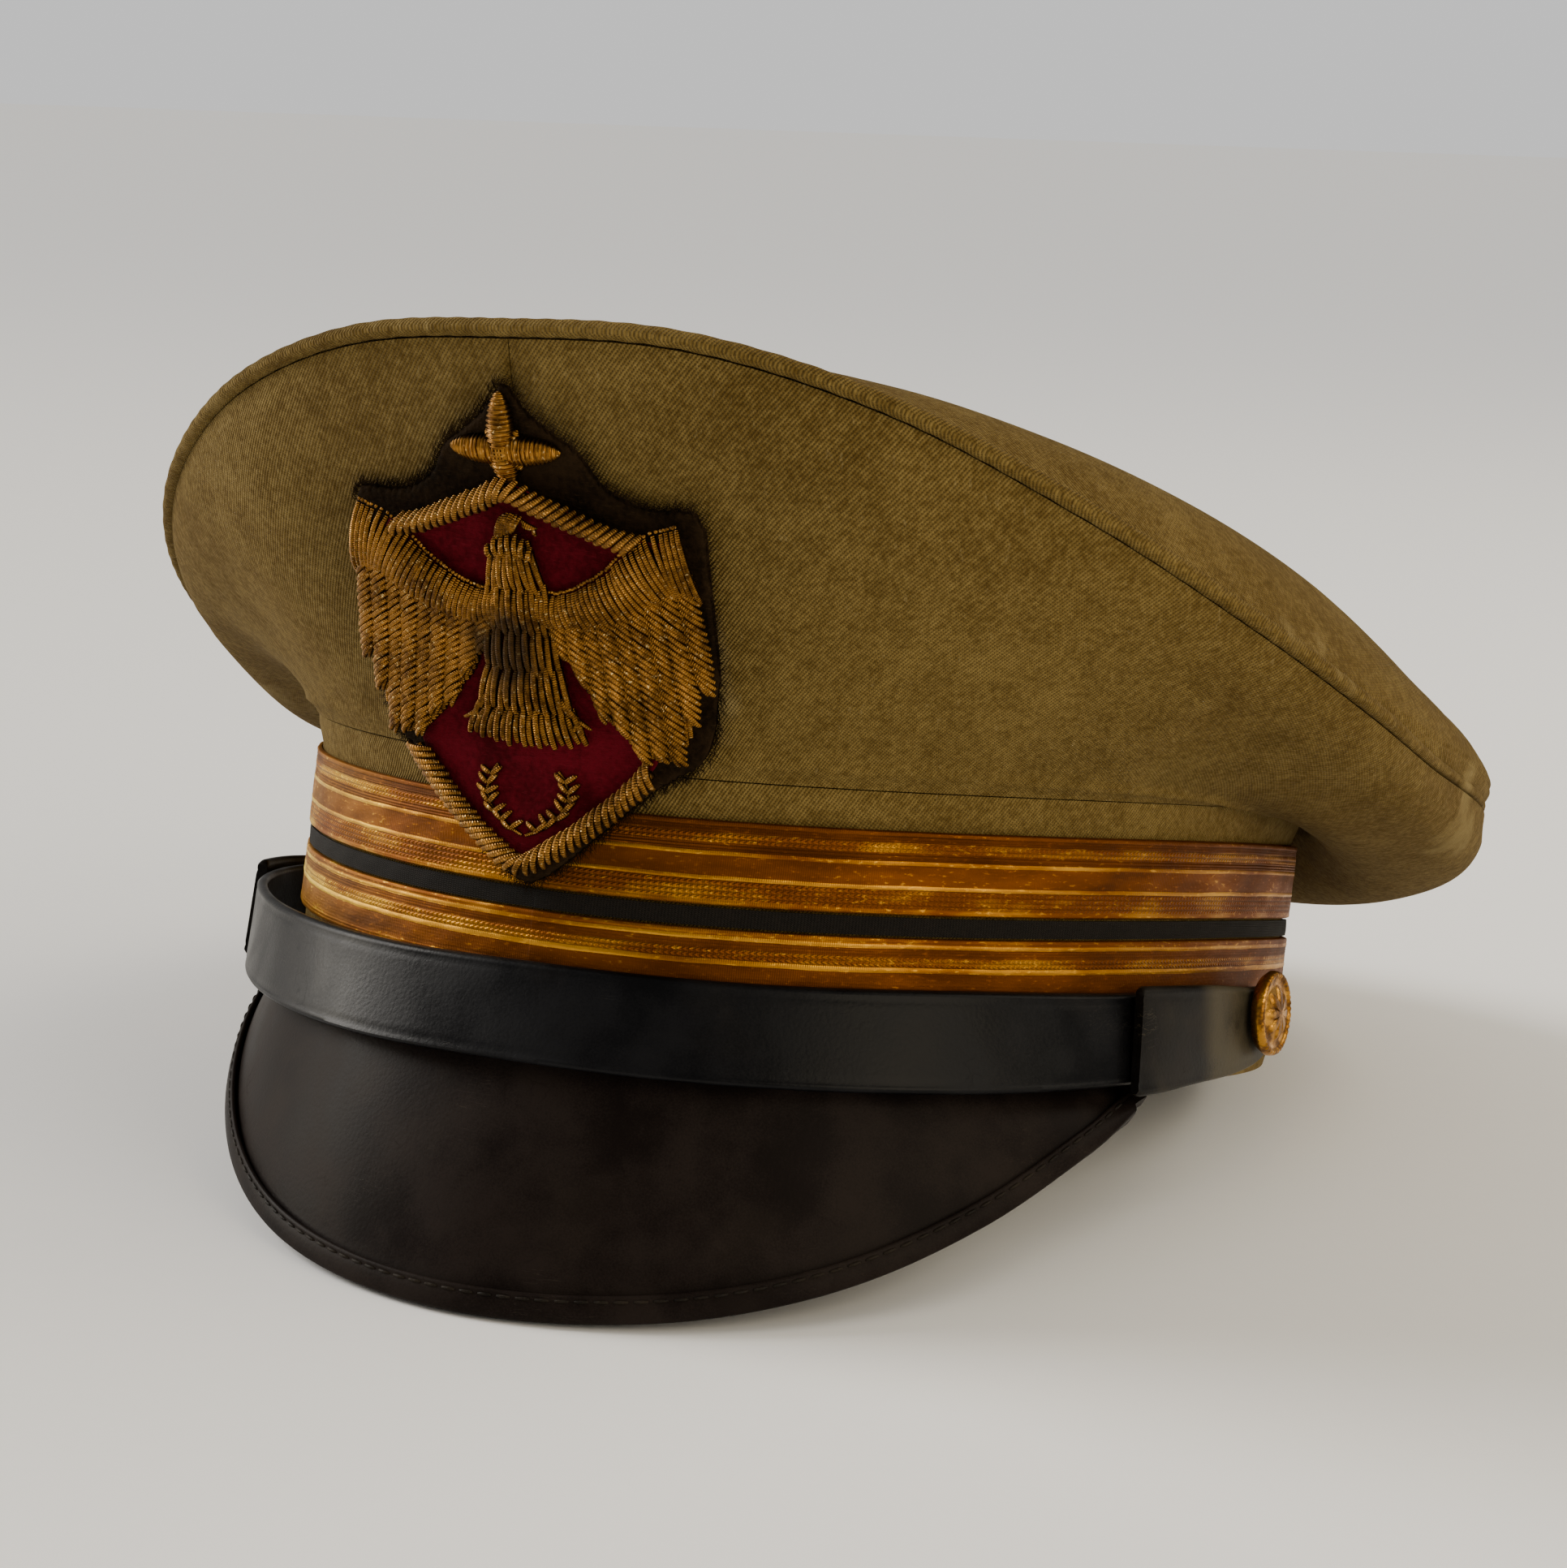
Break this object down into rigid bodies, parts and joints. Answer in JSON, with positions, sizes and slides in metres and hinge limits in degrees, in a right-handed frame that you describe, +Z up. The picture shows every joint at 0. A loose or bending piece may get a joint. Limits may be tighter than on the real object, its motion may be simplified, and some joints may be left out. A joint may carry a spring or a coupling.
{
  "type": "officer's peaked cap",
  "caption": "Peaked uniform cap with a soft raised crown, a stiff laced band, a leather visor, a buttoned chin strap and an embroidered eagle badge.",
  "frame": {"origin": "middle of the outline, on the surface that the cap rests on", "axes": "+Z up, -Y towards the visor, +X towards the wearer's left"},
  "size_m": [0.2276, 0.2652, 0.1451],
  "materials": {
    "khaki_cloth": "twill",
    "gold_lace": "woven metal thread",
    "dark_lace": "matt",
    "brown_leather": "satin",
    "black_leather": "satin",
    "gilt_brass": "worn gilt",
    "brown_felt": "felt",
    "crimson_felt": "felt",
    "gold_thread": "metal thread embroidery"
  },
  "bodies": {
    "root": {"band": "khaki_cloth", "lace_upper": "gold_lace", "lace_stripe": "dark_lace", "lace_lower": "gold_lace", "crown_side_left": "khaki_cloth", "crown_side_right": "khaki_cloth", "crown_seam_cord": "khaki_cloth", "crown_top": "khaki_cloth", "visor": "brown_leather", "visor_binding": "brown_leather", "chin_strap": "black_leather", "strap_tab_left": "black_leather", "strap_button_left": "gilt_brass", "strap_tab_right": "black_leather", "strap_button_right": "gilt_brass", "badge_backing": "brown_felt", "badge_shield": "crimson_felt", "badge_rope_upper": "gold_thread", "badge_rope_lower": "gold_thread", "badge_wing_left": "gold_thread", "badge_wing_right": "gold_thread", "badge_eagle_body": "gold_thread", "badge_star": "gold_thread"}
  },
  "joints": []
}
